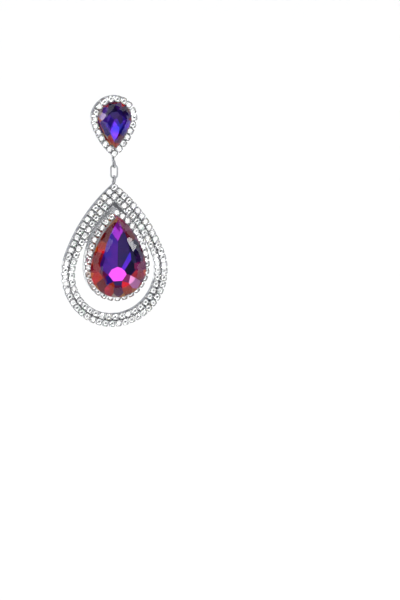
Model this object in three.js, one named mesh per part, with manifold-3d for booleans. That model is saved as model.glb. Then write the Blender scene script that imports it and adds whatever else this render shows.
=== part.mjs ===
// A teardrop drop earring. A pear-shaped stud and a pear-shaped drop hang on one oval link.
// Both carry a pear-cut stone in a halo of small white stones, and the drop's halo sits in a frame of two rows.
// Millimetres, +Z up. The front faces -Y and the post runs along +Y.
// The origin is on the post's axis, at the back face of the stud, at the centre of the stud's round end.

import * as THREE from 'three';
import { ConvexGeometry } from 'three/addons/geometries/ConvexGeometry.js';
import { mergeVertices } from 'three/addons/utils/BufferGeometryUtils.js';
import Module from 'manifold-3d';

const manifoldLibrary = await Module();
manifoldLibrary.setup();
const { Manifold, Mesh: SolidMesh } = manifoldLibrary;

// The two cut stones and the frame: radius of the round end, and reach from its centre to the point.
// The join is the angle above the round end's centre at which the flanks leave it.
const largeStoneRadius = 8.8;
const largeStoneJoinDegrees = 12;
const smallStoneRadius = 5.0;
const smallStoneTip = 8.7;
const smallStoneJoinDegrees = 20;
const frameTip = 27.4;
const frameJoinDegrees = 20;
const studJoinDegrees = 20;

// How far each outline stands outside the one within it
const haloLip = 1.35;
const haloTipLip = 2.1;
const haloGap = 0.15;
const crescentWidth = 2.4;
const studLip = 2.1;
const studTipLip = 3.1;

// Where the stones sit inside the stud and the frame
const largeStoneRise = 1.7;
const largeStoneShift = 0.45;
const smallStoneRise = 0.2;

// Rows of small white stones, each in a square claw cup on a flat band
const cupWidth = 1.95;
const cupLength = 1.75;
const cupDepth = 0.95;
const stonePitch = 2.1;
const rowGap = 0.1;
const bandWidth = 1.3;
const bandThickness = 0.45;
const cupLap = 0.2;
const crownGirdle = 0.86;
const crownTable = 0.45;
const crownHeight = 0.55;
const crownSink = 0.1;
const crownFacets = 8;
const strandGap = 0.3;

// Backs and seats
const framePlate = 0.7;
const studPlate = 0.8;
const plateInset = 0.12;
const seatGap = 0.1;
const haloRiserTop = 1.6;
const crescentTop = 9.5;
const bezelInset = 0.72;
const bezelWall = 0.6;
const bezelPlay = 0.12;

// Pear-cut stones
const largeGirdleHeight = 4.2;
const largeCrown = 1.9;
const largePavilion = 3.1;
const smallGirdleHeight = 3.3;
const smallCrown = 1.3;
const smallPavilion = 2.3;
const girdleThickness = 0.12;

// The loops and the oval link between them
const loopRadius = 0.95;
const loopWire = 0.6;
const loopDepth = 1.7;
const studLoopDrop = 1.95;
const dropLoopRise = 1.2;
const neckWidth = 0.9;
const neckInset = 0.1;
const linkWire = 0.5;
const linkHalfWidth = 1.0;
const linkReach = 3.95;
const linkPlay = 0.1;

// The post behind the stud
const postRadius = 0.45;
const postLength = 11.0;
const postPointLength = 0.5;
const postFootRadius = 2.0;
const postFootThickness = 0.6;

// Fineness of the curves
const flankSteps = 7;
const roundSteps = 26;
const wireSides = 6;
const loopSides = 14;
const postSides = 16;

const silver = { color: 0xd6d8dc, metalness: 1.0, roughness: 0.22 };
const whiteStone = { color: 0xf2f4f8, metalness: 0.0, roughness: 0.08 };
const purpleStone = { color: 0x4a1a7a, metalness: 0.35, roughness: 0.06 };

// Outlines of the stud, the halo and the frame, worked out from the stones
const rowPitch = cupWidth + rowGap;
const outerRowOffset = -cupWidth / 2;
const innerRowOffset = outerRowOffset - rowPitch;
const strandEdge = innerRowOffset - cupWidth / 2;
const studRadius = smallStoneRadius + studLip;
const studTip = smallStoneTip + studTipLip;
const haloRadius = largeStoneRadius + haloLip;
const frameRadius = haloRadius + crescentWidth - strandEdge;

// Levels along Z, worked out down the chain of links
const loopHole = loopRadius - loopWire / 2;
const studLoopLevel = -studTip - studLoopDrop;
const linkTop = studLoopLevel - loopHole + linkWire / 2 + linkPlay;
const linkBottom = linkTop - linkReach;
const dropLoopLevel = linkBottom + linkWire / 2 + linkPlay - loopHole;
const frameLevel = dropLoopLevel - dropLoopRise - frameTip;

// A pear outline: a round end and two flank arcs that leave it smoothly and meet in a point.
// The point looks up along +Z, or down where turned is true.
function makePear(radius, tip, joinDegrees, x, z, turned = false) {
  const join = THREE.MathUtils.degToRad(joinDegrees);
  const reach = (tip ** 2 - radius ** 2) / (2 * (radius - tip * Math.sin(join)));
  const side = reach * Math.cos(join);
  return {
    radius, join, x, z, side,
    fall: reach * Math.sin(join),
    flankRadius: reach + radius,
    sign: turned ? -1 : 1,
  };
}

// The point of the halo. Its flanks leave its round end level with the centre and run along the frame's inner
// row, at the halo's gap from it on the side to which the stone is shifted. The radius of such a flank follows
// from the distance between its centre and that of the frame's flank, which is the difference of their radii.
function haloTipBeside(outer) {
  const edge = outer.flankRadius + strandEdge - haloGap;
  const across = outer.side + Math.abs(largeStoneShift) + haloRadius;
  const up = outer.fall + largeStoneRise;
  const flank = (edge ** 2 - across ** 2 - up ** 2) / (2 * (edge - across));
  return Math.sqrt(2 * flank * haloRadius - haloRadius ** 2);
}

// The angle on a flank at one offset where it meets the opposite flank at another offset
function meetingAngle(pear, offset, otherOffset) {
  const span = 2 * pear.side;
  const own = pear.flankRadius + offset;
  const other = pear.flankRadius + otherOffset;
  return Math.acos((span ** 2 + own ** 2 - other ** 2) / (2 * span * own));
}

// A walk along the outline at an offset: down the left flank, round the end and up the right flank.
// The end offsets name the curves of the opposite flank at which the walk starts and stops.
function trace(pear, offset, startOffset = offset, stopOffset = offset) {
  const start = meetingAngle(pear, offset, startOffset);
  const stop = meetingAngle(pear, offset, stopOffset);
  const flank = pear.flankRadius + offset;
  const round = pear.radius + offset;
  const leftLength = flank * (start - pear.join);
  const roundLength = round * (Math.PI + 2 * pear.join);
  const rightLength = flank * (stop - pear.join);
  const arcs = [
    { length: leftLength, from: Math.PI - start, radius: flank, x: pear.side, z: -pear.fall },
    { length: roundLength, from: Math.PI - pear.join, radius: round, x: 0, z: 0 },
    { length: rightLength, from: pear.join, radius: flank, x: -pear.side, z: -pear.fall },
  ];
  const at = (distance) => {
    let left = distance;
    let index = 0;
    while (index < arcs.length - 1 && left > arcs[index].length) {
      left -= arcs[index].length;
      index += 1;
    }
    const arc = arcs[index];
    const angle = arc.from + left / arc.radius;
    const normal = new THREE.Vector2(Math.cos(angle), Math.sin(angle)).multiplyScalar(pear.sign);
    const centre = new THREE.Vector2(pear.x + arc.x * pear.sign, pear.z + arc.z * pear.sign);
    return { point: normal.clone().multiplyScalar(arc.radius).add(centre), normal };
  };
  return { at, arcs, length: leftLength + roundLength + rightLength };
}

// The closed outline at an offset, as points for a shape
function outline(pear, offset) {
  const path = trace(pear, offset);
  const points = [];
  let begun = 0;
  for (const [index, arc] of path.arcs.entries()) {
    const steps = index === 1 ? roundSteps : flankSteps;
    for (let step = 0; step < steps; step += 1) {
      points.push(path.at(begun + (arc.length * step) / steps).point);
    }
    begun += arc.length;
  }
  return points;
}

function toSolid(geometry) {
  geometry.deleteAttribute('normal');
  geometry.deleteAttribute('uv');
  const merged = mergeVertices(geometry, 1e-5);
  return new Manifold(new SolidMesh({
    numProp: 3,
    vertProperties: new Float32Array(merged.attributes.position.array),
    triVerts: new Uint32Array(merged.index.array),
  }));
}

function join(solids) {
  return solids.reduce((whole, next) => whole.add(next));
}

function toMesh(name, solid, look) {
  const result = solid.getMesh();
  const geometry = new THREE.BufferGeometry();
  geometry.setAttribute('position', new THREE.BufferAttribute(result.vertProperties, 3));
  geometry.setIndex(new THREE.BufferAttribute(result.triVerts, 1));
  geometry.computeVertexNormals();
  const mesh = new THREE.Mesh(geometry, new THREE.MeshStandardMaterial(look));
  mesh.name = name;
  return mesh;
}

// A flat slab whose outline is given in X and Z, from one height in front of the back face to another
function slab(points, holes, from, to) {
  const shape = new THREE.Shape(points);
  shape.holes = holes.map((hole) => new THREE.Path(hole));
  const geometry = new THREE.ExtrudeGeometry(shape, { depth: to - from, bevelEnabled: false });
  geometry.translate(0, 0, from);
  geometry.rotateX(Math.PI / 2);
  return toSolid(geometry);
}

// One small stone: a square cup and an octagonal crown with a table and eight facets
function settingAt(place, turn, level) {
  const cupFrom = level + bandThickness - cupLap;
  const cupTo = cupFrom + cupLap + cupDepth;
  const cup = new THREE.BoxGeometry(cupLength, cupTo - cupFrom, cupWidth);
  cup.translate(0, -(cupFrom + cupTo) / 2, 0);
  const crownDepth = crownHeight + crownSink;
  const crown = new THREE.CylinderGeometry(crownGirdle, crownTable, crownDepth, crownFacets);
  crown.rotateY(Math.PI / crownFacets);
  crown.translate(0, -(cupTo - crownSink + crownDepth / 2), 0);
  for (const piece of [cup, crown]) {
    piece.rotateY(turn);
    piece.translate(place.x, 0, place.y);
  }
  return toSolid(cup).add(toSolid(crown));
}

// A row with two ends, such as each of the frame's. It starts against the strand that crosses the tip.
function openRow(pear, offset, startOffset, stopOffset, level) {
  const path = trace(pear, offset, startOffset, stopOffset);
  const first = strandGap + cupLength / 2;
  const last = path.length - cupLength / 2;
  const count = Math.floor((last - first) / stonePitch);
  const bandSteps = flankSteps + roundSteps + flankSteps;
  const outerEdge = [];
  const innerEdge = [];
  for (let step = 0; step <= bandSteps; step += 1) {
    const { point, normal } = path.at(strandGap + ((path.length - strandGap) * step) / bandSteps);
    outerEdge.push(point.clone().addScaledVector(normal, bandWidth / 2));
    innerEdge.unshift(point.clone().addScaledVector(normal, -bandWidth / 2));
  }
  const pieces = [slab([...outerEdge, ...innerEdge], [], level, level + bandThickness)];
  for (let index = 0; index <= count; index += 1) {
    const { point, normal } = path.at(first + ((last - first) * index) / count);
    pieces.push(settingAt(point, Math.atan2(normal.x, normal.y), level));
  }
  return join(pieces);
}

// A closed halo, with one stone turned corner-wise in the tip
function closedRow(pear, offset, level) {
  const path = trace(pear, offset);
  const count = Math.floor(path.length / stonePitch);
  const outerEdge = outline(pear, offset + bandWidth / 2);
  const innerEdge = outline(pear, offset - bandWidth / 2);
  const pieces = [slab(outerEdge, [innerEdge], level, level + bandThickness)];
  pieces.push(settingAt(path.at(0).point, Math.PI / 4, level));
  for (let index = 1; index < count; index += 1) {
    const { point, normal } = path.at((path.length * index) / count);
    pieces.push(settingAt(point, Math.atan2(normal.x, normal.y), level));
  }
  return join(pieces);
}

// A wall that holds a pear-cut stone by its pavilion, and the height at which it stops below the stone
function bezel(pear, girdleHeight, slope) {
  const outerEdge = outline(pear, -bezelInset);
  const innerEdge = outline(pear, -bezelInset - bezelWall);
  const top = girdleHeight - (bezelInset + bezelWall) * slope - bezelPlay;
  return slab(outerEdge, [innerEdge], 0, top);
}

// The rings of a pear-cut stone as shares: inset of the outline's radius, height in crowns or pavilions above
// the girdle, and number of corners. Negative heights are pavilion, which ends in a short ridge.
const cutRings = [
  { inset: 0.44, height: 1.0, corners: 10, turn: 0.5 },
  { inset: 0.2, height: 0.66, corners: 10, turn: 0.0 },
  { inset: 0.0, height: 0.0, corners: 20, turn: 0.0 },
  { inset: 0.42, height: -0.5, corners: 10, turn: 0.5 },
  { inset: 0.85, height: -1.0, corners: 6, turn: 0.0 },
];

// How steeply the pavilion falls away from the girdle towards the middle
function pavilionSlope(pear, pavilion) {
  const ring = cutRings[3];
  return (-ring.height * pavilion) / (ring.inset * pear.radius);
}

function pearStone(pear, girdleHeight, crown, pavilion) {
  const corners = [];
  for (const ring of cutRings) {
    const path = trace(pear, -ring.inset * pear.radius);
    const girdles = ring.height === 0 ? [0, girdleThickness] : [ring.height > 0 ? girdleThickness : 0];
    const depth = ring.height > 0 ? ring.height * crown : ring.height * pavilion;
    for (const girdle of girdles) {
      for (let corner = 0; corner < ring.corners; corner += 1) {
        const { point } = path.at((path.length * (corner + ring.turn)) / ring.corners);
        corners.push(new THREE.Vector3(point.x, -(girdleHeight + girdle + depth), point.y));
      }
    }
  }
  return toSolid(new ConvexGeometry(corners));
}

// A wire loop standing across the earring, with its neck of metal to the plate
function loopWithNeck(level, neckTo, plate) {
  const loop = new THREE.TorusGeometry(loopRadius, loopWire / 2, wireSides, loopSides);
  loop.rotateY(Math.PI / 2);
  loop.translate(0, -loopDepth, level);
  const reach = neckTo > level ? level + loopRadius - loopWire / 2 : level - loopRadius + loopWire / 2;
  const neck = new THREE.BoxGeometry(neckWidth, plate - neckInset, Math.abs(neckTo - reach));
  neck.translate(0, -(plate + neckInset) / 2, (neckTo + reach) / 2);
  return toSolid(loop).add(toSolid(neck));
}

function makeStudBase() {
  const plate = slab(outline(stud, -plateInset), [], 0, studPlate);
  const wall = bezel(smallStone, smallGirdleHeight, pavilionSlope(smallStone, smallPavilion));
  const neckTo = -studTip + neckWidth;
  return join([plate, wall, loopWithNeck(studLoopLevel, neckTo, studPlate)]);
}

function makeDropBase() {
  const ringInner = strandEdge + plateInset;
  const ring = slab(outline(frame, -plateInset), [outline(frame, ringInner)], 0, framePlate);
  const inside = slab(outline(frame, ringInner + plateInset), [], 0, framePlate);
  const upper = new THREE.BoxGeometry(4 * frameRadius, 4 * framePlate, frameTip);
  upper.translate(0, 0, frameLevel + crescentTop + frameTip / 2);
  const bridge = inside.intersect(toSolid(upper));
  const haloPlate = slab(outline(halo, -plateInset), [], 0, framePlate);
  const riserInner = outline(largeStone, -bezelInset - bezelWall);
  const riser = slab(outline(halo, -plateInset), [riserInner], 0, haloRiserTop);
  const wall = bezel(largeStone, largeGirdleHeight, pavilionSlope(largeStone, largePavilion));
  const neckTo = frameLevel + frameTip - neckWidth;
  return join([ring, bridge, haloPlate, riser, wall, loopWithNeck(dropLoopLevel, neckTo, framePlate)]);
}

// An oval link: a round ring of wire whose two halves are drawn apart, which leaves straight sides between
function makeLink() {
  const ring = new THREE.TorusGeometry(linkHalfWidth, linkWire / 2, wireSides, loopSides);
  ring.rotateZ(Math.PI / loopSides);
  const stretch = linkReach / 2 - linkHalfWidth;
  const positions = ring.attributes.position;
  for (let index = 0; index < positions.count; index += 1) {
    const height = positions.getY(index);
    positions.setY(index, height + Math.sign(height) * stretch);
  }
  ring.rotateX(Math.PI / 2);
  ring.translate(0, -loopDepth, (linkTop + linkBottom) / 2);
  return toSolid(ring);
}

function makePost() {
  const end = seatGap + postLength;
  const profile = [
    new THREE.Vector2(0, seatGap),
    new THREE.Vector2(postFootRadius, seatGap),
    new THREE.Vector2(postFootRadius, seatGap + postFootThickness),
    new THREE.Vector2(postRadius, seatGap + postFootThickness),
    new THREE.Vector2(postRadius, end - postPointLength),
    new THREE.Vector2(postRadius / 2, end),
    new THREE.Vector2(0, end),
  ];
  return toSolid(new THREE.LatheGeometry(profile, postSides));
}

const frame = makePear(frameRadius, frameTip, frameJoinDegrees, 0, frameLevel);
const stud = makePear(studRadius, studTip, studJoinDegrees, 0, 0, true);
const smallStone = makePear(smallStoneRadius, smallStoneTip, smallStoneJoinDegrees, 0, smallStoneRise, true);
const stoneLevel = frameLevel + largeStoneRise;
const haloTip = haloTipBeside(frame);
const halo = makePear(haloRadius, haloTip, 0, largeStoneShift, stoneLevel);
const largeStoneTip = haloTip - haloTipLip;
const largeStone = makePear(
  largeStoneRadius, largeStoneTip, largeStoneJoinDegrees, largeStoneShift, stoneLevel,
);

const frameRowLevel = framePlate + seatGap;
const earring = new THREE.Group();
earring.add(
  toMesh('ear_post', makePost(), silver),
  toMesh('stud_base', makeStudBase(), silver),
  toMesh('stud_halo', closedRow(stud, outerRowOffset, studPlate + seatGap), whiteStone),
  toMesh('stud_stone', pearStone(smallStone, smallGirdleHeight, smallCrown, smallPavilion), purpleStone),
  toMesh('jump_ring', makeLink(), silver),
  toMesh('drop_base', makeDropBase(), silver),
  toMesh('frame_outer_row', openRow(frame, outerRowOffset, strandEdge, 0, frameRowLevel), whiteStone),
  toMesh('frame_inner_row', openRow(frame, innerRowOffset, strandEdge, 0, frameRowLevel), whiteStone),
  toMesh('drop_halo', closedRow(halo, outerRowOffset, haloRiserTop + seatGap), whiteStone),
  toMesh('drop_stone', pearStone(largeStone, largeGirdleHeight, largeCrown, largePavilion), purpleStone),
);

export default earring;
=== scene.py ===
# %% [markdown]
# # A teardrop drop earring
# The earring hangs as it is worn. A pear-shaped stud sits on the ear, an oval link hangs from the
# stud's loop, and a pear-shaped drop hangs from the link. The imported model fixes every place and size.
# This lesson makes the finish over it: soft-edged plated castings, small stones in claw cups, and two
# large stones with coated backs.

# %% Load the fixed frame
import math
import random

import bmesh
import bpy
from mathutils import Matrix, Vector


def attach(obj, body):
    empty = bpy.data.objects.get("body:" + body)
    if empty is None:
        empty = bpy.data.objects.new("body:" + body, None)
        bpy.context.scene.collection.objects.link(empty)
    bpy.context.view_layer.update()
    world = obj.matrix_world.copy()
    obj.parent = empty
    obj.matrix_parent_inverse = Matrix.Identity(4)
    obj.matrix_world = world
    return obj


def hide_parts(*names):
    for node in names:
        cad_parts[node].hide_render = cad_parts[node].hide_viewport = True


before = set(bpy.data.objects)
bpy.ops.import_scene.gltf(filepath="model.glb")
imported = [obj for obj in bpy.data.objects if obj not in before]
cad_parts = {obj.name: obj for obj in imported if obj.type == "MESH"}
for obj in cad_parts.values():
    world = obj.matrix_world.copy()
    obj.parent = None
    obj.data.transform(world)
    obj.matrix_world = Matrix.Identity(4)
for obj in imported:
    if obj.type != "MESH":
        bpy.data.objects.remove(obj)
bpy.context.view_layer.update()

# %% [markdown]
# Jewellery is drawn in millimetres, and Blender works in metres here. One constant turns the first into
# the second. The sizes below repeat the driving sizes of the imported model, so each new piece lies on
# its solid.

# %% Sizes in millimetres
MM = 0.001
LARGE_STONE = {"radius": 8.8, "join": 12.0, "girdle": 4.2, "crown": 1.9, "pavilion": 3.1}
SMALL_STONE = {"radius": 5.0, "tip": 8.7, "join": 20.0, "girdle": 3.3, "crown": 1.3, "pavilion": 2.3}
GIRDLE_THICKNESS = 0.12
HALO_LIP = 1.35
HALO_TIP_LIP = 2.1
HALO_GAP = 0.15
CRESCENT_WIDTH = 2.4
STUD_LIP = 2.1
STUD_TIP_LIP = 3.1
FRAME_TIP = 27.4
FRAME_JOIN = 20.0
STONE_RISE = 1.7
STONE_SHIFT = 0.45
SMALL_STONE_RISE = 0.2
CUP_WIDTH = 1.95
CUP_LENGTH = 1.75
CUP_PITCH = 2.1
ROW_GAP = 0.1
STRAND_GAP = 0.3
FRAME_PLATE = 0.7
STUD_PLATE = 0.8
PLATE_INSET = 0.12
SEAT_GAP = 0.1
RISER_TOP = 1.6
CRESCENT_TOP = 9.5
BEZEL_INSET = 0.72
BEZEL_WALL = 0.6
LOOP_RADIUS = 0.95
LOOP_WIRE = 0.6
LOOP_DEPTH = 1.7
STUD_LOOP_DROP = 1.95
DROP_LOOP_RISE = 1.2
LINK_WIRE = 0.5
LINK_HALF_WIDTH = 1.0
LINK_REACH = 3.95
LINK_PLAY = 0.1

OUTER_ROW = -CUP_WIDTH / 2
INNER_ROW = OUTER_ROW - CUP_WIDTH - ROW_GAP
STRAND_EDGE = INNER_ROW - CUP_WIDTH / 2
STUD_TIP = SMALL_STONE["tip"] + STUD_TIP_LIP
LOOP_HOLE = LOOP_RADIUS - LOOP_WIRE / 2
STUD_LOOP_LEVEL = -STUD_TIP - STUD_LOOP_DROP
LINK_TOP = STUD_LOOP_LEVEL - LOOP_HOLE + LINK_WIRE / 2 + LINK_PLAY
LINK_BOTTOM = LINK_TOP - LINK_REACH
DROP_LOOP_LEVEL = LINK_BOTTOM + LINK_WIRE / 2 + LINK_PLAY - LOOP_HOLE
FRAME_LEVEL = DROP_LOOP_LEVEL - DROP_LOOP_RISE - FRAME_TIP
print("frame's round end is centred at z =", round(FRAME_LEVEL, 3), "mm")

# %% [markdown]
# Every outline on this earring is the same kind of pear: a round end, and two long flank arcs that
# leave it smoothly and cross in a point. One class draws it. Its walk goes down the left flank, round
# the end and up the right flank, and gives a place and the outward direction at any distance, which is
# all that a row of stones needs.


# %% The pear outline
class Pear:
    """A pear outline in the earring's plane, in mm. Its point is up, or down when it is turned."""

    def __init__(self, radius, tip, join, x=0.0, z=0.0, turned=False):
        self.radius = radius
        self.join = math.radians(join)
        self.centre = Vector((x, z))
        self.sign = -1 if turned else 1
        reach = (tip ** 2 - radius ** 2) / (2 * (radius - tip * math.sin(self.join)))
        self.side = reach * math.cos(self.join)
        self.fall = reach * math.sin(self.join)
        self.flank_radius = reach + radius

    def meeting(self, offset, other_offset):
        """The angle on one flank at an offset where it meets the other flank at another offset."""
        span = 2 * self.side
        own = self.flank_radius + offset
        other = self.flank_radius + other_offset
        return math.acos((span ** 2 + own ** 2 - other ** 2) / (2 * span * own))

    def walk(self, offset, start_offset=None, stop_offset=None):
        """The walk's length, and a function from distance to place and outward direction."""
        start = self.meeting(offset, offset if start_offset is None else start_offset)
        stop = self.meeting(offset, offset if stop_offset is None else stop_offset)
        flank = self.flank_radius + offset
        end = self.radius + offset
        arcs = [
            (flank * (start - self.join), math.pi - start, flank, Vector((self.side, -self.fall))),
            (end * (math.pi + 2 * self.join), math.pi - self.join, end, Vector((0.0, 0.0))),
            (flank * (stop - self.join), self.join, flank, Vector((-self.side, -self.fall))),
        ]

        def at(distance):
            left = distance
            index = 0
            while index < 2 and left > arcs[index][0]:
                left -= arcs[index][0]
                index += 1
            _, begin, radius, centre = arcs[index]
            angle = begin + left / radius
            normal = self.sign * Vector((math.cos(angle), math.sin(angle)))
            return self.centre + self.sign * centre + radius * normal, normal

        return sum(arc[0] for arc in arcs), at

    def outline(self, offset, steps=96):
        """Places round the closed outline at an offset, from the point back to the point."""
        length, at = self.walk(offset)
        return [at(length * step / steps)[0] for step in range(steps)]


def halo_tip(outer, radius):
    """The point of the halo, whose flanks run along the frame's inner row at a small gap."""
    edge = outer.flank_radius + STRAND_EDGE - HALO_GAP
    across = outer.side + STONE_SHIFT + radius
    up = outer.fall + STONE_RISE
    flank = (edge ** 2 - across ** 2 - up ** 2) / (2 * (edge - across))
    return math.sqrt(2 * flank * radius - radius ** 2)


HALO_RADIUS = LARGE_STONE["radius"] + HALO_LIP
FRAME_RADIUS = HALO_RADIUS + CRESCENT_WIDTH - STRAND_EDGE
STONE_LEVEL = FRAME_LEVEL + STONE_RISE
frame_pear = Pear(FRAME_RADIUS, FRAME_TIP, FRAME_JOIN, 0, FRAME_LEVEL)
HALO_TIP = halo_tip(frame_pear, HALO_RADIUS)
LARGE_STONE["tip"] = HALO_TIP - HALO_TIP_LIP
halo_pear = Pear(HALO_RADIUS, HALO_TIP, 0, STONE_SHIFT, STONE_LEVEL)
large_pear = Pear(LARGE_STONE["radius"], LARGE_STONE["tip"], LARGE_STONE["join"], STONE_SHIFT, STONE_LEVEL)
stud_pear = Pear(SMALL_STONE["radius"] + STUD_LIP, STUD_TIP, FRAME_JOIN, turned=True)
small_pear = Pear(
    SMALL_STONE["radius"], SMALL_STONE["tip"], SMALL_STONE["join"], 0, SMALL_STONE_RISE, turned=True
)
print("outline lengths in mm:", [round(pear.walk(0)[0], 1) for pear in (frame_pear, halo_pear, stud_pear)])

# %% [markdown]
# The photograph looks at the earring from a little to its left and from a little above, with a long
# lens that keeps the rows parallel. The camera looks past the earring's right side, because the earring
# hangs at the left of the picture. The aim is worked out from where the stud's centre has to fall in
# the frame.

# %% Camera
IMAGE_WIDTH = 400
IMAGE_HEIGHT = 600
SENSOR = 36.0
LENS = 200.0
MM_PER_PIXEL = 0.2995
STUD_PIXEL = Vector((112.3, 118.0))
VIEW_AZIMUTH = math.radians(-17.5)
VIEW_ELEVATION = math.radians(11.5)

camera_data = bpy.data.cameras.new("photo_camera")
camera_data.lens = LENS
camera_data.sensor_width = SENSOR
camera_data.clip_start = 0.01
camera_data.clip_end = 50.0
camera = bpy.data.objects.new("photo_camera", camera_data)
bpy.context.scene.collection.objects.link(camera)
bpy.context.scene.camera = camera

forward = Vector((
    -math.sin(VIEW_AZIMUTH) * math.cos(VIEW_ELEVATION),
    math.cos(VIEW_AZIMUTH) * math.cos(VIEW_ELEVATION),
    -math.sin(VIEW_ELEVATION),
))
view_right = forward.cross(Vector((0, 0, 1))).normalized()
view_up = view_right.cross(forward)
across = (STUD_PIXEL.x - IMAGE_WIDTH / 2) * MM_PER_PIXEL * MM
above = (IMAGE_HEIGHT / 2 - STUD_PIXEL.y) * MM_PER_PIXEL * MM
aim = -across * view_right - above * view_up
view_distance = MM_PER_PIXEL * MM * IMAGE_HEIGHT * LENS / SENSOR
camera.location = aim - view_distance * forward
camera.rotation_euler = forward.to_track_quat("-Z", "Y").to_euler()
print("camera stands", round(view_distance, 3), "m from the stud's plane")

# %% [markdown]
# A material is a small graph of nodes. One helper adds a node with its settings and links, and one
# turns the hex colours that painters and web pages use into the linear values that the renderer works
# in.


# %% Colour and node helpers
def linear(hex_colour):
    """An sRGB hex colour as linear values, by the curve of the sRGB standard."""
    values = [int(hex_colour[place:place + 2], 16) / 255 for place in (1, 3, 5)]
    return tuple(v / 12.92 if v <= 0.04045 else ((v + 0.055) / 1.055) ** 2.4 for v in values) + (1.0,)


def add(tree, kind, settings=None, **inputs):
    """Adds a node. Each input is a value or another node's output."""
    node = tree.nodes.new(kind)
    for name, value in (settings or {}).items():
        setattr(node, name, value)
    for name, value in inputs.items():
        socket = node.inputs[name.replace("_", " ")]
        if isinstance(value, bpy.types.NodeSocket):
            tree.links.new(value, socket)
        else:
            socket.default_value = value
    return node


def new_material(name):
    """An empty material, and its tree of nodes."""
    material = bpy.data.materials.new(name)
    material.use_nodes = True
    tree = material.node_tree
    tree.nodes.clear()
    return material, tree


def close_material(tree, shader):
    """Joins the finished shader to the material's output."""
    add(tree, "ShaderNodeOutputMaterial", Surface=shader.outputs[0])


print("white is", linear("#ffffff")[:3])

# %% [markdown]
# The metal is cast zinc alloy with a bright silver-coloured plating. Plating keeps the casting's faint
# orange peel, which breaks up long reflections, and it dulls a little where fingers rub it. So a fine
# noise of about 0.4 mm drives a slight bump and a slight change in roughness, and the metal stays
# neutral in colour. Narrow hollows and the gaps between parts get painted shade: the colour turns to a
# darker grey there. The backs are only tumbled before they are plated, so they are duller and greyer.

# %% Bright plating
PLATE_GRAIN = 0.4
PEEL_HEIGHT = 0.05
RUBBED_LEAST = 0.8
RUBBED_MOST = 1.3
# Widths in mm below which a hollow gets painted shade.
CAST_RECESS = 0.8
CUP_RECESS = 0.22
# The Mix node keeps its two colour inputs and its colour output at these places.
MIX_FIRST = 6
MIX_SECOND = 7
MIX_RESULT = 2


def bright_plate(name, colour, roughness, recess, painted_shade_colour, grain=PLATE_GRAIN, bump=0.06):
    """Plated metal with a grain in mm. Hollows narrower than the recess take a darker colour, as painted
    shade.
    """
    material, tree = new_material(name)
    place = add(tree, "ShaderNodeTexCoord").outputs["Object"]
    peel = add(tree, "ShaderNodeTexNoise", Vector=place, Scale=1 / (grain * MM), Detail=3.0, Roughness=0.55)
    rubbed = add(
        tree, "ShaderNodeMapRange", Value=peel.outputs["Fac"], From_Min=0.3, From_Max=0.7,
        To_Min=roughness * RUBBED_LEAST, To_Max=roughness * RUBBED_MOST,
    )
    relief = add(
        tree, "ShaderNodeBump", Height=peel.outputs["Fac"], Strength=bump, Distance=PEEL_HEIGHT * MM,
    )
    # Painted shade: an occlusion reading turns the colour towards a darker grey in narrow hollows and in the
    # gaps between parts.
    hollow = add(tree, "ShaderNodeAmbientOcclusion", {"samples": 6}, Distance=recess * MM)
    unshaded_share = add(tree, "ShaderNodeMapRange", Value=hollow.outputs["AO"], From_Min=0.2, From_Max=0.6)
    tint = add(tree, "ShaderNodeMix", {"data_type": "RGBA"}, Factor=unshaded_share.outputs["Result"])
    tint.inputs[MIX_FIRST].default_value = linear(painted_shade_colour)
    tint.inputs[MIX_SECOND].default_value = linear(colour)
    shader = add(
        tree, "ShaderNodeBsdfPrincipled", Base_Color=tint.outputs[MIX_RESULT], Metallic=1.0,
        Roughness=rubbed.outputs["Result"], Normal=relief.outputs["Normal"],
    )
    close_material(tree, shader)
    return material


# The second colour given to each metal is the painted shade of its hollows.
plated_metal = bright_plate("bright_plated_zinc_alloy", "#e2e3e5", 0.14, CAST_RECESS, "#66676c")
back_metal = bright_plate(
    "tumbled_plated_zinc_back", "#bebfc3", 0.34, CAST_RECESS, "#4c4d52", grain=0.6, bump=0.12,
)
cup_metal = bright_plate("bright_plated_brass_cups", "#f8f8f9", 0.1, CUP_RECESS, "#6c6d72")
wire_metal = bright_plate("drawn_plated_wire", "#b0b1b5", 0.12, CAST_RECESS, "#3c3d41", grain=0.2)
post_metal = bright_plate("polished_steel_wire", "#c4c5c8", 0.18, CAST_RECESS, "#808186", grain=0.15)
print("metals:", [metal.name for metal in (plated_metal, back_metal, cup_metal, wire_metal, post_metal)])

# %% [markdown]
# The white stones are lead glass with a silver foil behind them, pressed into cups. Light enters the
# crown, the foil throws it back, and each facet shows another piece of the room. The crown is real
# glass here, and the foil is the stone's own back, a mirror inside the glass. A cell pattern of about
# one stone gives a stone here and there a faint tint, as the photograph shows.

# %% Foil-backed glass
LEAD_GLASS_IOR = 1.56
PRESSED_GLASS_IOR = 1.5


def crown_glass(name, ior):
    """Clear glass, for the faces that light enters."""
    material, tree = new_material(name)
    shader = add(
        tree, "ShaderNodeBsdfPrincipled", Base_Color=linear("#ffffff"), Roughness=0.0, IOR=ior,
        Transmission_Weight=1.0,
    )
    close_material(tree, shader)
    return material


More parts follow.
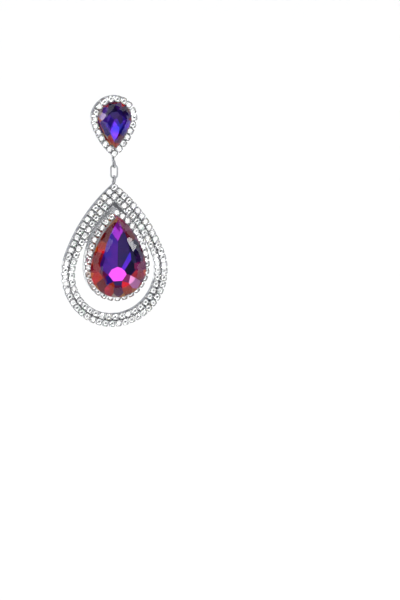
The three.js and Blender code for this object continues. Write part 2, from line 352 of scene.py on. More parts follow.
def silver_foil(name):
    """A mirror with a faint tint that changes from stone to stone."""
    material, tree = new_material(name)
    place = add(tree, "ShaderNodeTexCoord").outputs["Object"]
    cells = add(tree, "ShaderNodeTexVoronoi", Vector=place, Scale=1 / (CUP_PITCH * MM))
    hue = add(tree, "ShaderNodeSeparateColor", Color=cells.outputs["Color"])
    tints = add(tree, "ShaderNodeValToRGB", Fac=hue.outputs["Red"])
    ramp = tints.color_ramp
    ramp.elements[0].color = linear("#f6f2dd")
    ramp.elements[1].color = linear("#eee9f8")
    for position, colour in ((0.12, "#ffffff"), (0.8, "#ffffff"), (0.9, "#e6f4ea")):
        ramp.elements.new(position).color = linear(colour)
    shader = add(
        tree, "ShaderNodeBsdfPrincipled", Base_Color=tints.outputs["Color"], Metallic=1.0, Roughness=0.02,
    )
    close_material(tree, shader)
    return material


stone_glass = crown_glass("lead_glass_crown", LEAD_GLASS_IOR)
pressed_glass = crown_glass("pressed_clear_glass_crown", PRESSED_GLASS_IOR)
stone_foil = silver_foil("silver_foil_backing")
print("white stones use", stone_glass.name, "over", stone_foil.name)

# %% [markdown]
# Each new piece is a mesh in the frame that the imported model uses. It gets its materials, rides on its
# body and stands for the solid that it covers. These steps are always the
# same, so one function takes them.


# %% From bmesh to finished piece
def finish_piece(name, bm, materials, body, node):
    """Makes the object of a piece, and says what it rides on, stands for and is made of."""
    mesh = bpy.data.meshes.new(name)
    bm.to_mesh(mesh)
    bm.free()
    for material in materials:
        mesh.materials.append(material)
    piece = bpy.data.objects.new(name, mesh)
    bpy.context.scene.collection.objects.link(piece)
    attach(piece, body)
    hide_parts(node)
    print(name, "has", len(mesh.polygons), "faces")
    return piece


def front(point, height):
    """A point of an outline, in mm, at a height in front of the back face, as a place in metres."""
    return Vector((point.x, -height, point.y)) * MM


# %% [markdown]
# A casting has no sharp corners, and the light line that runs along a softened edge is what tells the
# eye that a thing is metal. Each plate starts as one face inside a pear outline, is extruded to its
# thickness and has its rims bevelled. A hole is an inner outline, bridged to the outer one.


# %% Plates and walls
SHARP_DEGREES = 50.0
WALL_BEVEL = 0.08
WIRE_SIDES = 14


def loop_of_edges(bm, points, height):
    """A closed loop of edges through an outline's points, all at one height."""
    verts = [bm.verts.new(front(point, height)) for point in points]
    return [bm.edges.new((verts[i], verts[(i + 1) % len(verts)])) for i in range(len(verts))]


def soften(part, width, segments=2):
    """Turns a closed part's faces outwards and bevels its sharp edges."""
    bmesh.ops.recalc_face_normals(part, faces=part.faces[:])
    edges = [edge for edge in part.edges if edge.calc_face_angle(0) > math.radians(SHARP_DEGREES)]
    bmesh.ops.bevel(
        part, geom=edges, offset=width * MM, offset_type="OFFSET", affect="EDGES", segments=segments,
        profile=0.5, material=-1, clamp_overlap=True,
    )


def join_part(bm, part):
    """Adds a finished part to a piece. Each part is softened alone, so no bevel reaches another."""
    mesh = bpy.data.meshes.new("part")
    part.to_mesh(mesh)
    part.free()
    bm.from_mesh(mesh)
    bpy.data.meshes.remove(mesh)


def plate(bm, outer, bottom, top, hole=None, bevel=WALL_BEVEL):
    """A slab between two heights with the outer outline, and a hole with the inner one."""
    part = bmesh.new()
    edges = loop_of_edges(part, outer, bottom)
    if hole is None:
        faces = bmesh.ops.contextual_create(part, geom=edges)["faces"]
    else:
        edges += loop_of_edges(part, hole, bottom)
        faces = bmesh.ops.bridge_loops(part, edges=edges)["faces"]
    made = bmesh.ops.extrude_face_region(part, geom=faces, use_keep_orig=True)["geom"]
    moved = [item for item in made if isinstance(item, bmesh.types.BMVert)]
    bmesh.ops.translate(part, verts=moved, vec=Vector((0, -(top - bottom) * MM, 0)))
    soften(part, bevel)
    join_part(bm, part)


def spun_wire(thickness, start, centre, axis, steps):
    """A ring of round wire: a small circle, set at its start, is spun once round the axis."""
    ring = bmesh.new()
    circle = bmesh.ops.create_circle(ring, segments=WIRE_SIDES, radius=thickness / 2 * MM)["verts"]
    bmesh.ops.transform(ring, verts=circle, matrix=start)
    bmesh.ops.spin(
        ring, geom=ring.verts[:] + ring.edges[:], cent=centre, axis=axis, angle=2 * math.pi, steps=steps,
        use_merge=True, use_duplicate=False,
    )
    bmesh.ops.recalc_face_normals(ring, faces=ring.faces[:])
    return ring


print("a slab's rim is softened over", WALL_BEVEL, "mm")

# %% [markdown]
# The stud's base is a closed back plate with a low wall that holds the stone, and a loop at its tip.
# The drop's base has the same parts and a frame around them: a flat pear ring, joined to the halo's
# plate by a bridge behind the tip, so that a crescent stays open between them. Where two slabs overlap,
# one is a hair thinner, so that no two faces lie in one plane.

# %% Stud base and drop base
LOOP_STEPS = 40
NECK_WIDTH = 0.9
NECK_INSET = 0.1
NECK_BEVEL = 0.15
RIM_BEVEL = 0.15
RISER_BEVEL = 0.12
HIDDEN_STEP = 0.01
HIDDEN_BEVEL = 0.01
BEZEL_BACK = 0.05
BEZEL_CLEARANCE = 0.12
BREAK_DEPTH = 0.5
BREAK_INSET = 0.42
BACKWARD = 0.9
CAST, DRAWN, TUMBLED = range(3)
BASE_METALS = [plated_metal, wire_metal, back_metal]


def wire_loop(bm, level):
    """A round wire loop that stands across the earring."""
    start = Matrix.Translation(Vector((0, (LOOP_RADIUS - LOOP_DEPTH) * MM, level * MM)))
    ring = spun_wire(LOOP_WIRE, start, Vector((0, -LOOP_DEPTH, level)) * MM, (1, 0, 0), LOOP_STEPS)
    for face in ring.faces:
        face.material_index = DRAWN
    join_part(bm, ring)


def dull_the_back(bm):
    """The cast faces that point backwards keep the tumbled finish."""
    bm.normal_update()
    for face in bm.faces:
        if face.material_index == CAST and face.normal.y > BACKWARD:
            face.material_index = TUMBLED


def neck(bm, low, high, plate_top):
    """The short bar of metal from the plate to its loop."""
    part = bmesh.new()
    bar = bmesh.ops.create_cube(part, size=1.0)["verts"]
    size = Vector((NECK_WIDTH, plate_top - NECK_INSET, high - low)) * MM
    centre = Vector((0, -(plate_top + NECK_INSET) / 2, (low + high) / 2)) * MM
    bmesh.ops.transform(part, verts=bar, matrix=Matrix.LocRotScale(centre, None, size))
    soften(part, NECK_BEVEL, segments=3)
    join_part(bm, part)


def pavilion_slope(stone):
    """How steeply the back of a cut stone falls from its girdle."""
    return BREAK_DEPTH * stone["pavilion"] / (BREAK_INSET * stone["radius"])


def bezel(bm, pear, stone):
    """The low wall under a large stone, which ends just behind the stone's sloping back."""
    reach = BEZEL_INSET + BEZEL_WALL
    top = stone["girdle"] - reach * pavilion_slope(stone) - BEZEL_CLEARANCE
    plate(bm, pear.outline(-BEZEL_INSET), BEZEL_BACK, top, pear.outline(-reach))


def stud_base():
    """The stud's plate, wall, neck and loop."""
    bm = bmesh.new()
    plate(bm, stud_pear.outline(-PLATE_INSET), 0, STUD_PLATE, bevel=RIM_BEVEL)
    bezel(bm, small_pear, SMALL_STONE)
    neck(bm, STUD_LOOP_LEVEL + LOOP_HOLE, -STUD_TIP + NECK_WIDTH, STUD_PLATE)
    wire_loop(bm, STUD_LOOP_LEVEL)
    dull_the_back(bm)
    finish_piece("stud_back", bm, BASE_METALS, "stud", "stud_base")


def bridge(bm):
    """The plate behind the tip: the inside of the frame's ring, cut level above the crescent."""
    inside = bmesh.new()
    step = 2 * HIDDEN_STEP
    outline = frame_pear.outline(STRAND_EDGE + 2 * PLATE_INSET)
    plate(inside, outline, step, FRAME_PLATE - step, bevel=HIDDEN_BEVEL)
    level = Vector((0, 0, FRAME_LEVEL + CRESCENT_TOP)) * MM
    cut = bmesh.ops.bisect_plane(
        inside, geom=inside.verts[:] + inside.edges[:] + inside.faces[:], plane_co=level,
        plane_no=(0, 0, -1), clear_outer=True,
    )
    edges = [item for item in cut["geom_cut"] if isinstance(item, bmesh.types.BMEdge)]
    bmesh.ops.contextual_create(inside, geom=edges)
    bmesh.ops.recalc_face_normals(inside, faces=inside.faces[:])
    join_part(bm, inside)


def drop_base():
    """The frame's ring, the bridge, the halo's plate and riser, and the wall, neck and loop."""
    bm = bmesh.new()
    inner = frame_pear.outline(STRAND_EDGE + PLATE_INSET)
    plate(bm, frame_pear.outline(-PLATE_INSET), 0, FRAME_PLATE, inner, bevel=RIM_BEVEL)
    bridge(bm)
    halo = halo_pear.outline(-PLATE_INSET)
    plate(bm, halo, HIDDEN_STEP, FRAME_PLATE - HIDDEN_STEP, bevel=HIDDEN_BEVEL)
    riser_hole = large_pear.outline(-BEZEL_INSET - BEZEL_WALL)
    plate(bm, halo, 0, RISER_TOP, riser_hole, bevel=RISER_BEVEL)
    bezel(bm, large_pear, LARGE_STONE)
    neck(bm, FRAME_LEVEL + FRAME_TIP - NECK_WIDTH, DROP_LOOP_LEVEL - LOOP_HOLE, FRAME_PLATE)
    wire_loop(bm, DROP_LOOP_LEVEL)
    dull_the_back(bm)
    finish_piece("drop_back", bm, BASE_METALS, "drop", "drop_base")


stud_base()
drop_base()

# %% [markdown]
# The link is an oval of round wire. A full ring is spun first, and its two halves are drawn apart,
# which leaves straight sides. The post is a straight pin with a soft round point on a round foot.

# %% Link and post
LINK_STEPS = 38
POST = {"radius": 0.45, "length": 11.0, "foot": 2.0, "foot_thickness": 0.6}
POST_SIDES = 40
FOOT_BEVEL = 0.12
POINT_BEVEL = 0.3
POST_SHARP_DEGREES = 40.0
ALONG_Y = Matrix.Rotation(math.pi / 2, 4, "X")


def link():
    """The oval link between the two loops."""
    centre = Vector((0, -LOOP_DEPTH, (LINK_TOP + LINK_BOTTOM) / 2)) * MM
    top = Matrix.Translation(centre + Vector((0, 0, LINK_HALF_WIDTH * MM)))
    start = top @ Matrix.Rotation(math.pi / 2, 4, "Y")
    ring = spun_wire(LINK_WIRE, start, centre, (0, 1, 0), LINK_STEPS)
    stretch = (LINK_REACH / 2 - LINK_HALF_WIDTH) * MM
    for half in (1, -1):
        drawn = [vert for vert in ring.verts if (vert.co.z - centre.z) * half > 0]
        bmesh.ops.translate(ring, verts=drawn, vec=Vector((0, 0, half * stretch)))
    piece = finish_piece("oval_link", ring, [wire_metal], "link", "jump_ring")
    piece.data.shade_smooth()


def post():
    """The pin that goes through the ear, and its foot on the stud's back."""
    bm = bmesh.new()
    half_foot = POST["foot_thickness"] / 2
    bars = (
        (POST["foot"], SEAT_GAP, POST["foot_thickness"], FOOT_BEVEL),
        (POST["radius"], SEAT_GAP + half_foot, POST["length"] - half_foot, POINT_BEVEL),
    )
    for radius, start, length, bevel in bars:
        part = bmesh.new()
        bar = bmesh.ops.create_cone(
            part, cap_ends=True, segments=POST_SIDES, radius1=radius * MM, radius2=radius * MM,
            depth=length * MM,
        )["verts"]
        middle = Matrix.Translation(Vector((0, (start + length / 2) * MM, 0)))
        bmesh.ops.transform(part, verts=bar, matrix=middle @ ALONG_Y)
        soften(part, bevel, segments=4)
        join_part(bm, part)
    piece = finish_piece("post_pin", bm, [post_metal], "stud", "ear_post")
    piece.data.set_sharp_from_angle(angle=math.radians(POST_SHARP_DEGREES))


link()
post()

# %% [markdown]
# The rows are cup chain: square cups on a strip of metal, each with four claws bent over a round glass
# stone. One cup is modelled once and copied along the walk. It is a cube with softened upright edges
# and an inset seat, and each claw is a small cone that leans over the girdle.

# %% One cup
CUP_LAP = 0.2
CUP_DEPTH = 0.95
CUP_CORNER = 0.3
SEAT_RIM = 0.14
SEAT_DEPTH = 0.3
CLAW_SIDES = 6
CLAW_RADIUS = 0.2
CLAW_TAPER = 0.6
CLAW_LENGTH = 0.75
CLAW_LIFT = 0.1
CLAW_INSET = (0.27, 0.3)
CLAW_LEAN = math.radians(22)


def cup_mesh():
    """A cup at the origin, with its back at height 0 and its width along X."""
    bm = bmesh.new()
    cube = bmesh.ops.create_cube(bm, size=1.0)["verts"]
    depth = CUP_LAP + CUP_DEPTH
    size = Vector((CUP_LENGTH, depth, CUP_WIDTH)) * MM
    middle = Vector((0, -depth / 2, 0)) * MM
    bmesh.ops.transform(bm, verts=cube, matrix=Matrix.LocRotScale(middle, None, size))
    half = 0.5 * depth * MM
    upright = [edge for edge in bm.edges if abs(edge.verts[0].co.y - edge.verts[1].co.y) > half]
    bmesh.ops.bevel(
        bm, geom=upright, offset=CUP_CORNER * MM, offset_type="OFFSET", affect="EDGES", segments=2,
        profile=0.5, material=-1, clamp_overlap=True,
    )
    top = min(bm.faces, key=lambda face: face.calc_center_median().y)
    bmesh.ops.inset_region(bm, faces=[top], thickness=SEAT_RIM * MM, depth=0.0)
    bmesh.ops.translate(bm, verts=top.verts[:], vec=Vector((0, SEAT_DEPTH, 0)) * MM)
    across = CUP_LENGTH / 2 - CLAW_INSET[0]
    along = CUP_WIDTH / 2 - CLAW_INSET[1]
    for side, end in ((-1, -1), (-1, 1), (1, -1), (1, 1)):
        claw = bmesh.ops.create_cone(
            bm, cap_ends=True, segments=CLAW_SIDES, radius1=CLAW_RADIUS * MM,
            radius2=CLAW_RADIUS * CLAW_TAPER * MM, depth=CLAW_LENGTH * MM,
        )["verts"]
        corner = Vector((side * across, 0, end * along))
        lean = Matrix.Rotation(CLAW_LEAN, 4, Vector((-corner.z, 0, corner.x)))
        place = Matrix.Translation(Vector((corner.x, -(depth + CLAW_LIFT), corner.z)) * MM)
        bmesh.ops.transform(bm, verts=claw, matrix=place @ lean @ ALONG_Y)
    mesh = bpy.data.meshes.new("cup")
    bm.to_mesh(mesh)
    bm.free()
    return mesh


one_cup = cup_mesh()
print("one cup has", len(one_cup.polygons), "faces")

# %% [markdown]
# The stone is made of three eight-sided cones whose rims meet: a steep ring and a flatter ring of crown
# facets round an eight-sided table, and eight foil-backed facets behind. The caps where two cones meet
# are taken out and their rims are merged, which leaves one closed stone.

# %% One stone
STONE_SIDES = 8
STONE_GIRDLE = 0.96
STONE_MIDDLE = 0.82
STONE_TABLE = 0.5
STONE_RIM = 0.2
STONE_CROWN = 0.4
STONE_BACK = 0.7
STONE_POINT = 0.06
CAP_REACH = 0.01
WELD = 0.001
GLASS, FOIL = range(2)


def stone_mesh():
    """A stone at the origin, with its girdle at height 0, in glass and foil."""
    bm = bmesh.new()
    turned = ALONG_Y @ Matrix.Rotation(math.pi / STONE_SIDES, 4, "Z")
    upper = STONE_CROWN - STONE_RIM
    cones = (
        (STONE_GIRDLE, STONE_MIDDLE, STONE_RIM, -STONE_RIM / 2, GLASS),
        (STONE_MIDDLE, STONE_TABLE, upper, -STONE_RIM - upper / 2, GLASS),
        (STONE_POINT, STONE_GIRDLE, STONE_BACK, STONE_BACK / 2, FOIL),
    )
    for low, high, depth, shift, slot in cones:
        known = set(bm.faces)
        verts = bmesh.ops.create_cone(
            bm, cap_ends=True, segments=STONE_SIDES, radius1=low * MM, radius2=high * MM, depth=depth * MM,
        )["verts"]
        place = Matrix.Translation(Vector((0, shift, 0)) * MM)
        bmesh.ops.transform(bm, verts=verts, matrix=place @ turned)
        for face in set(bm.faces) - known:
            face.material_index = slot
    caps = (0, -STONE_RIM * MM)
    inner = [
        face for face in bm.faces
        if len(face.verts) == STONE_SIDES
        and min(abs(face.calc_center_median().y - cap) for cap in caps) < CAP_REACH * MM
    ]
    bmesh.ops.delete(bm, geom=inner, context="FACES")
    bmesh.ops.remove_doubles(bm, verts=bm.verts[:], dist=WELD * MM)
    bmesh.ops.recalc_face_normals(bm, faces=bm.faces[:])
    mesh = bpy.data.meshes.new("stone")
    bm.to_mesh(mesh)
    bm.free()
    return mesh


one_stone = stone_mesh()
print("one stone has", len(one_stone.polygons), "faces")

# %% [markdown]
# A row sets a cup and a stone at even steps along its walk, each turned to the row's direction. Stones
# are pressed in by hand, so each is tipped a little and turned in its seat, which makes neighbours
# sparkle differently. A seeded random generator gives the same tips each time.

# %% Rows of stones
TIP_DEGREES = 11.0
BAND_WIDTH = 1.3
BAND_THICKNESS = 0.45
BAND_STEPS_PER_CUP = 3
BAND_END = 0.02
STONE_LIFT = 0.02
ROW_LEVEL = FRAME_PLATE + SEAT_GAP


def places_on_open_row(pear, offset, start_offset, stop_offset):
    """Even places along a row that ends against other rows at the tip."""
    length, at = pear.walk(offset, start_offset, stop_offset)
    first = STRAND_GAP + CUP_LENGTH / 2
    last = length - CUP_LENGTH / 2
    count = int((last - first) / CUP_PITCH)
    return [at(first + (last - first) * index / count) for index in range(count + 1)]


def places_on_halo(pear, offset):
    """Even places all round a halo, with one cup set cornerwise on the tip."""
    length, at = pear.walk(offset)
    count = int(length / CUP_PITCH)
    tip = at(0)[0], Vector((math.sqrt(0.5), math.sqrt(0.5)))
    return [tip] + [at(length * index / count) for index in range(1, count)]


def band(bm, walk, start, stop, steps, level):
    """The strip under the cups: its cross-section, set along the walk and bridged."""
    sections = []
    for step in range(steps + 1):
        point, normal = walk(start + (stop - start) * step / steps)
        corners = []
        for side, height in ((-1, 0), (1, 0), (1, 1), (-1, 1)):
            place = point + normal * side * BAND_WIDTH / 2
            corners.append(bm.verts.new(front(place, level + height * BAND_THICKNESS)))
        sections.append([bm.edges.new((corners[i], corners[(i + 1) % 4])) for i in range(4)])
    for here, after in zip(sections, sections[1:]):
        bmesh.ops.bridge_loops(bm, edges=here + after)
    for end in (sections[0], sections[-1]):
        bmesh.ops.contextual_create(bm, geom=end)


def stone_row(name, body, places, walk, level, seed, closed=False):
    """A row of cups on their strip, and its stones, both in the place of the node of that name."""
    chance = random.Random(seed)
    cups = bmesh.new()
    stones = bmesh.new()
    length, at = walk
    start = BAND_END if closed else STRAND_GAP
    band(cups, at, start, length - BAND_END, BAND_STEPS_PER_CUP * len(places), level)
    bmesh.ops.recalc_face_normals(cups, faces=cups.faces[:])
    back = level + BAND_THICKNESS - CUP_LAP
    girdle = back + CUP_LAP + CUP_DEPTH + STONE_LIFT
    for point, normal in places:
        turn = Matrix.Rotation(math.atan2(normal.x, normal.y), 4, "Y")
        seat = Matrix.Translation(front(point, back)) @ turn
        tip_axis = Vector((chance.uniform(-1, 1), 0, chance.uniform(-1, 1)))
        tip = Matrix.Rotation(math.radians(chance.uniform(0, TIP_DEGREES)), 4, tip_axis)
        spun = Matrix.Rotation(chance.uniform(0, math.pi / 4), 4, "Y")
        held = Matrix.Translation(front(point, girdle)) @ turn @ tip @ spun
        for target, mesh, place in ((cups, one_cup, seat), (stones, one_stone, held)):
            before = len(target.verts)
            target.from_mesh(mesh)
            target.verts.ensure_lookup_table()
            bmesh.ops.transform(target, verts=target.verts[before:], matrix=place)
    finish_piece(name + "_cups", cups, [cup_metal], body, name)
    finish_piece(name + "_stones", stones, [stone_glass, stone_foil], body, name)


for row_name, row_offset, row_seed in (
    ("frame_outer_row", OUTER_ROW, 11),
    ("frame_inner_row", INNER_ROW, 12),
):
    stone_row(
        row_name, "drop", places_on_open_row(frame_pear, row_offset, STRAND_EDGE, 0),
        frame_pear.walk(row_offset, STRAND_EDGE, 0), ROW_LEVEL, row_seed,
    )
for row_name, row_body, row_pear, row_level, row_seed in (
    ("drop_halo", "drop", halo_pear, RISER_TOP + SEAT_GAP, 13),
    ("stud_halo", "stud", stud_pear, STUD_PLATE + SEAT_GAP, 14),
):
    stone_row(
        row_name, row_body, places_on_halo(row_pear, OUTER_ROW), row_pear.walk(OUTER_ROW), row_level,
        row_seed, closed=True,
    )

# %% [markdown]
# The large stones are glass with a vapour-laid coating behind. Seen straight on the coating is deep
# violet and blue, and towards the rim it turns plum, crimson and orange. A thin coating shows one
# colour on each flat back facet, so colour belongs to the facet here: a named palette, and for each
# tier a list of names in walking order. Some facets also carry painted flashes: pale and bright colours
# that stand for reflected lights, fixed into single facets.

# %% Colours of the coating
# The palette holds the coating's own colours and the colours of its painted flashes and glints.
PALETTE = {
    "violet": "#4a1a9c", "indigo": "#2e16a0", "navy": "#2a165c", "slate": "#1c1c48", "magenta": "#ff52ff",
    "orchid": "#b034e0", "lilac": "#d8bcf4", "plum": "#7c1c58", "maroon": "#a01834", "crimson": "#f0301c",
    "orange": "#ff8c30", "cream": "#ffe0b4", "mauve": "#b8588a", "pink": "#ffa4e0", "iris": "#5a24e0",
}
COAT_NAMES = list(PALETTE)
COAT = "coat"
COAT_DRIFT = 3.0


def coated_back(name):
    """The coating and its painted flashes: each facet's own colour, which drifts a little in hue over some
    mm.
    """
    material, tree = new_material(name)
    coat = add(tree, "ShaderNodeAttribute", {"attribute_name": COAT})
    place = add(tree, "ShaderNodeTexCoord").outputs["Object"]
    drift = add(tree, "ShaderNodeTexNoise", Vector=place, Scale=1 / (COAT_DRIFT * MM), Detail=1.0)
    shift = add(
        tree, "ShaderNodeMapRange", Value=drift.outputs["Fac"], From_Min=0.3, From_Max=0.7,
        To_Min=0.485, To_Max=0.515,
    )
    colour = add(tree, "ShaderNodeHueSaturation", Hue=shift.outputs["Result"], Color=coat.outputs["Color"])
    shader = add(
        tree, "ShaderNodeBsdfPrincipled", Base_Color=colour.outputs["Color"], Metallic=0.6, Roughness=0.08,
    )
    close_material(tree, shader)
    return material


coat_and_painted_flashes = coated_back("vapour_coated_back_with_painted_flashes")
print("coating colours:", len(PALETTE))

# %% [markdown]
# A large stone is cut as a lapidary cuts it: a blank in the girdle's outline, and one flat facet after
# another, each a plane set at an angle against the girdle. The crown gets three tiers round its table.
# The back gets three tiers, one flat culet low in the middle, painted bright magenta as a reflected
# flash, and six long facets round it.

# %% The plan of the cut
# Each tier runs between two points, given as inset (share of the radius) and depth (share of crown or back).
CROWN_TIERS = (
    {"side": 1, "start": (0.0, 0.0), "end": (0.10, 0.42), "turn": 0.0},
    {"side": 1, "start": (0.08, 0.32), "end": (0.24, 0.78), "turn": 0.5},
    {"side": 1, "start": (0.22, 0.70), "end": (0.38, 1.0), "turn": 0.0},
)
BACK_TIERS = (
    {"side": -1, "start": (0.0, 0.0), "end": (0.12, 0.17), "turn": 0.5},
    {"side": -1, "start": (0.12, 0.16), "end": (0.45, 0.57), "turn": 0.0},
    {"side": -1, "start": (0.42, 0.53), "end": (0.90, 1.0), "turn": 0.5},
)
CROWN_COUNTS = (26, 18, 14)
# The crown is clear glass, so its colour is stored but never seen.
CROWN_COLOUR = "lilac"
# Painted flashes and glints: the cream, pink and lilac facets, the magenta culet, and the crimson and orange
# facets set among maroon ones stand for reflected lights. Violet, indigo, navy, slate, iris, orchid, plum,
# mauve and maroon are the coating's own colours, and crimson and orange are also its rim colour.
LARGE_COLOURS = (
    "orange orange maroon crimson maroon orange maroon crimson maroon orange crimson orange maroon "
    "crimson cream orange maroon orange crimson plum orange plum maroon plum plum mauve plum mauve "
    "mauve mauve",
    "orange maroon maroon crimson maroon maroon crimson maroon crimson plum crimson pink maroon plum "
    "slate slate maroon mauve",
    "orchid violet violet plum indigo navy plum navy slate violet lilac",
    "magenta navy violet orchid slate violet iris",
)
# The stud's stone has the same painted glints: cream and lilac facets, and crimson and orange facets among
# maroon ones.
SMALL_COLOURS = (
    "crimson maroon plum maroon orange maroon plum maroon crimson maroon "
    "maroon crimson maroon cream orange crimson orange cream maroon orange",
    "crimson plum indigo violet navy navy indigo navy violet lilac violet indigo crimson",
    "violet indigo indigo navy navy navy violet iris violet",
    "navy iris indigo iris violet navy indigo",
)
# The culet and the long facets: place (across and up, shares of the radius), depth, and tilt in degrees
INNER_FACETS = (
    {"place": (0.0, -0.1), "depth": 0.765, "tilt": 6.0, "towards": 270.0},
    {"place": (0.0, 0.06), "depth": 0.80, "tilt": 8.0, "towards": 55.0},
    {"place": (0.0, 0.06), "depth": 0.80, "tilt": 8.0, "towards": 125.0},
    {"place": (-0.05, 1.0), "depth": 0.485, "tilt": 9.0, "towards": 95.0},
    {"place": (0.28, 0.12), "depth": 0.72, "tilt": 13.0, "towards": 8.0},
    {"place": (-0.3, 0.16), "depth": 0.70, "tilt": 13.0, "towards": 168.0},
    {"place": (0.28, 0.12), "depth": 0.70, "tilt": 9.8, "towards": 26.0},
)
print("back facets of the large stone:", sum(len(names.split()) for names in LARGE_COLOURS))

# %% [markdown]
# A bisect with its outer side cleared is one cut, and the open loop is closed with one flat face, which
# keeps the number of its colour. When the stone is done, every face that looks backwards is coated, and
# the colours are written to an attribute that the coating's material reads.

# %% Cutting a pear stone
CUT_WELD = 0.0005
BLANK_STEPS = 72
LEAST_BACKWARD = 0.02
CLEAR_SIDE, COATED_SIDE = range(2)


def cut(bm, hue, place, normal, colour):
    """Takes everything beyond a plane away and closes the stone with one facet of a colour."""
    made = bmesh.ops.bisect_plane(
        bm, geom=bm.verts[:] + bm.edges[:] + bm.faces[:], dist=CUT_WELD * MM, plane_co=place,
        plane_no=normal, clear_outer=True,
    )
    edges = [item for item in made["geom_cut"] if isinstance(item, bmesh.types.BMEdge)]
    open_edges = [edge for edge in edges if edge.is_boundary]
    if open_edges:
        for face in bmesh.ops.contextual_create(bm, geom=open_edges)["faces"]:
            face[hue] = COAT_NAMES.index(colour)


def cut_tier(bm, hue, pear, stone, tier, colours):
    """Cuts one ring of facets, evenly spaced along the girdle."""
    side = tier["side"]
    reach = stone["crown"] if side > 0 else stone["pavilion"]
    level = stone["girdle"] + (GIRDLE_THICKNESS if side > 0 else 0)
    inset, depth = tier["start"]
    fall = (tier["end"][1] - depth) * reach / ((tier["end"][0] - inset) * pear.radius)
    slope = math.atan(fall)
    length, at = pear.walk(0)
    for index, colour in enumerate(colours):
        point, normal = at(length * (index + tier["turn"]) / len(colours))
        place = front(point - normal * inset * pear.radius, level + side * depth * reach)
        facing = (normal.x * math.sin(slope), -side * math.cos(slope), normal.y * math.sin(slope))
        cut(bm, hue, place, facing, colour)


def pear_stone(name, node, body, pear, stone, colours):
    """Cuts a large stone from its blank and coats its back."""
    bm = bmesh.new()
    hue = bm.faces.layers.int.new("hue")
    blank = loop_of_edges(bm, pear.outline(0, BLANK_STEPS), stone["girdle"] - stone["pavilion"])
    faces = bmesh.ops.contextual_create(bm, geom=blank)["faces"]
    made = bmesh.ops.extrude_face_region(bm, geom=faces, use_keep_orig=True)["geom"]
    top = [item for item in made if isinstance(item, bmesh.types.BMVert)]
    height = stone["pavilion"] + GIRDLE_THICKNESS + stone["crown"]
    bmesh.ops.translate(bm, verts=top, vec=Vector((0, -height * MM, 0)))
    bmesh.ops.recalc_face_normals(bm, faces=bm.faces[:])
    for tier, count in zip(CROWN_TIERS, CROWN_COUNTS):
        cut_tier(bm, hue, pear, stone, tier, [CROWN_COLOUR] * count)
    for tier, names in zip(BACK_TIERS, colours):
        cut_tier(bm, hue, pear, stone, tier, names.split())
    for facet, colour in zip(INNER_FACETS, colours[-1].split()):
        middle = pear.centre + pear.sign * pear.radius * Vector(facet["place"])
        tilt = math.radians(facet["tilt"])
        towards = math.radians(facet["towards"])
        lean = pear.sign * math.sin(tilt) * Vector((math.cos(towards), math.sin(towards)))
        place = front(middle, stone["girdle"] - facet["depth"] * stone["pavilion"])
        cut(bm, hue, place, (lean.x, math.cos(tilt), lean.y), colour)
    bmesh.ops.recalc_face_normals(bm, faces=bm.faces[:])
    bm.normal_update()
    coat = bm.loops.layers.float_color.new(COAT)
    for face in bm.faces:
        face.material_index = COATED_SIDE if face.normal.y > LEAST_BACKWARD else CLEAR_SIDE
        for corner in face.loops:
            corner[coat] = linear(PALETTE[COAT_NAMES[face[hue]]])
    finish_piece(name, bm, [pressed_glass, coat_and_painted_flashes], body, node)


pear_stone("drop_stone_cut", "drop_stone", "drop", large_pear, LARGE_STONE, LARGE_COLOURS)
pear_stone("stud_stone_cut", "stud_stone", "stud", small_pear, SMALL_STONE, SMALL_COLOURS)

# %% [markdown]
# The photograph has a plain white ground. A wide floor of matt white card lies well below the earring,
# so that it throws soft light up into the facets without touching anything. A very fine fibre keeps it
# from being perfectly smooth.

# %% Floor
FLOOR_LEVEL = -0.14
FLOOR_REACH = 12.0
FLOOR_FRONT = 0.25


def pale_floor():
    """A large flat card that starts a little in front of the earring."""
    bm = bmesh.new()
    bmesh.ops.create_grid(bm, x_segments=2, y_segments=2, size=FLOOR_REACH)
    middle = Vector((0, FLOOR_REACH - FLOOR_FRONT, FLOOR_LEVEL))
    bmesh.ops.translate(bm, verts=bm.verts[:], vec=middle)
    mesh = bpy.data.meshes.new("floor")
    bm.to_mesh(mesh)
    bm.free()
    material, tree = new_material("matt_white_card")
    place = add(tree, "ShaderNodeTexCoord").outputs["Object"]
    fibre = add(tree, "ShaderNodeTexNoise", Vector=place, Scale=60.0, Detail=2.0)
    relief = add(tree, "ShaderNodeBump", Height=fibre.outputs["Fac"], Strength=0.02)
    shader = add(
        tree, "ShaderNodeBsdfPrincipled", Base_Color=linear("#f3f3f3"), Roughness=0.9,
        Normal=relief.outputs["Normal"],
    )
    close_material(tree, shader)
    mesh.materials.append(material)
    floor = bpy.data.objects.new("floor", mesh)
    bpy.context.scene.collection.objects.link(floor)


pale_floor()
print("the floor lies at z =", FLOOR_LEVEL, "m")

# %% [markdown]
# Soft light comes from the upper right. A sun with a wide disc gives it, and two small bright panels,
# one in front and one at the right, put glints on the facets and the claws.

# %% Lights
DROP_CENTRE = (0, 0, -0.04)


def area_light(name, place, target, size, power):
    """A rectangular panel that faces a target."""
    data = bpy.data.lights.new(name, "AREA")
    data.shape = "RECTANGLE"
    data.size = size[0]
    data.size_y = size[1]
    data.energy = power
    light = bpy.data.objects.new(name, data)
    light.location = place
    light.rotation_euler = (Vector(target) - Vector(place)).to_track_quat("-Z", "Y").to_euler()
    bpy.context.scene.collection.objects.link(light)


def soft_sun(name, towards, strength, angle):
    """A sun seen in a direction, whose disc is an angle in degrees wide."""
    data = bpy.data.lights.new(name, "SUN")
    data.energy = strength
    data.angle = math.radians(angle)
    light = bpy.data.objects.new(name, data)
    light.rotation_euler = Vector(towards).to_track_quat("Z", "Y").to_euler()
    bpy.context.scene.collection.objects.link(light)


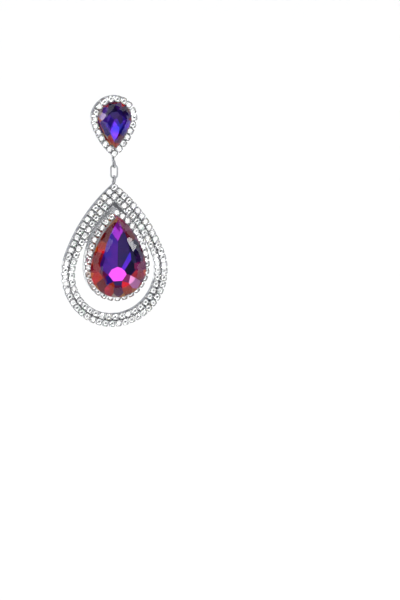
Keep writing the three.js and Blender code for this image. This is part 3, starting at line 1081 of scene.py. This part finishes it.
soft_sun("key_upper_right", towards=(0.475, -0.49, 0.735), strength=1.5, angle=12.0)
area_light("front_window", place=(0.26, -0.92, 0.2), target=DROP_CENTRE, size=(0.2, 0.2), power=0.7)
area_light("panel_right", place=(0.67, -0.42, 0.09), target=DROP_CENTRE, size=(0.1, 0.1), power=0.3)

# %% [markdown]
# Bright metal and cut glass show what stands around them, so the sky has pale and dark stretches:
# without the dark ones, foil and plating look like white paint. The view itself has plain white behind
# the earring, as the photograph has.

# %% Sky
DARK_TOWARDS = Vector((0.27, -0.95, -0.17)).normalized()


def studio_sky():
    """Plain white to the camera. To everything else, a pale room with dark corners and a dark middle."""
    world = bpy.data.worlds.new("studio_sky")
    world.use_nodes = True
    tree = world.node_tree
    tree.nodes.clear()
    direction = add(tree, "ShaderNodeTexCoord").outputs["Generated"]
    corners = add(tree, "ShaderNodeTexNoise", Vector=direction, Scale=9.0, Detail=1.0)
    dark_corner = add(
        tree, "ShaderNodeMapRange", {"interpolation_type": "SMOOTHSTEP"}, Value=corners.outputs["Fac"],
        From_Min=0.52, From_Max=0.55,
    )
    facing = add(tree, "ShaderNodeVectorMath", {"operation": "DOT_PRODUCT"})
    tree.links.new(direction, facing.inputs[0])
    facing.inputs[1].default_value = DARK_TOWARDS
    dark_middle = add(
        tree, "ShaderNodeMapRange", {"interpolation_type": "SMOOTHSTEP"}, Value=facing.outputs["Value"],
        From_Min=0.985, From_Max=0.996,
    )
    beside = add(tree, "ShaderNodeMapRange", Value=facing.outputs["Value"], From_Min=0.985, From_Max=0.93)
    outer_corner = add(tree, "ShaderNodeMath", {"operation": "MULTIPLY"})
    tree.links.new(dark_corner.outputs["Result"], outer_corner.inputs[0])
    tree.links.new(beside.outputs["Result"], outer_corner.inputs[1])
    dark = add(tree, "ShaderNodeMath", {"operation": "MAXIMUM"})
    tree.links.new(outer_corner.outputs["Value"], dark.inputs[0])
    tree.links.new(dark_middle.outputs["Result"], dark.inputs[1])
    behind = add(tree, "ShaderNodeMapRange", Value=facing.outputs["Value"], From_Min=-0.4, From_Max=-1.0)
    walls = add(tree, "ShaderNodeMix", {"data_type": "RGBA"}, Factor=behind.outputs["Result"])
    walls.inputs[MIX_FIRST].default_value = linear("#ffffff")
    walls.inputs[MIX_SECOND].default_value = linear("#8a8c92")
    tone = add(tree, "ShaderNodeMix", {"data_type": "RGBA"}, Factor=dark.outputs["Value"])
    tree.links.new(walls.outputs[MIX_RESULT], tone.inputs[MIX_FIRST])
    tone.inputs[MIX_SECOND].default_value = linear("#303238")
    room = add(tree, "ShaderNodeBackground", Color=tone.outputs[MIX_RESULT], Strength=1.4)
    ground = add(tree, "ShaderNodeBackground", Color=linear("#ffffff"), Strength=1.0)
    seen = add(tree, "ShaderNodeLightPath").outputs["Is Camera Ray"]
    both = add(tree, "ShaderNodeMixShader", Fac=seen)
    tree.links.new(room.outputs[0], both.inputs[1])
    tree.links.new(ground.outputs[0], both.inputs[2])
    add(tree, "ShaderNodeOutputWorld", Surface=both.outputs[0])
    bpy.context.scene.world = world


studio_sky()
bpy.context.scene.view_settings.view_transform = "Standard"
print("sky:", bpy.context.scene.world.name)
